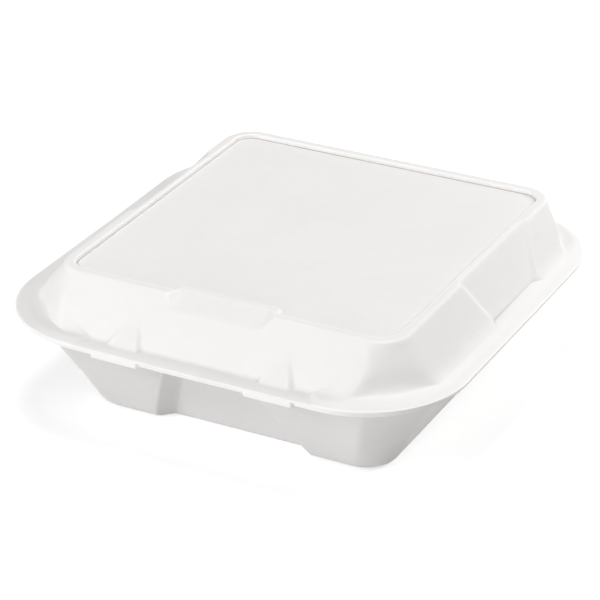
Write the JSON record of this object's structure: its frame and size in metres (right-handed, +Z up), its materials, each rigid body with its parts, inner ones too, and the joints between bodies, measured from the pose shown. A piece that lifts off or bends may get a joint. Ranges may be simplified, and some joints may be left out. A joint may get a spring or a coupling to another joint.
{
  "type": "foam clamshell container",
  "caption": "Square hinged take-away food box of white foam: a deep tray with a thumb recess and a shallow beaded lid that snaps shut over the tray's rim.",
  "frame": {"origin": "on the surface it stands on, under the middle of the rim", "axes": "+Z up; the front edge with the thumb recess faces -Y and the hinge line runs along X at the back, +Y"},
  "size_m": [0.235, 0.235, 0.076],
  "materials": {
    "white_foam": "smooth white expanded polystyrene foam sheet with a faint satin skin"
  },
  "bodies": {
    "tray": {"base_tray": "white_foam"},
    "lid": {"lid": "white_foam"}
  },
  "joints": [
    {"name": "lid_hinge", "type": "hinge", "parent": "tray", "child": "lid", "pos_m": [0, 0.1175, 0.053], "axis": [-1, 0, 0], "range_deg": [0, 180]}
  ]
}
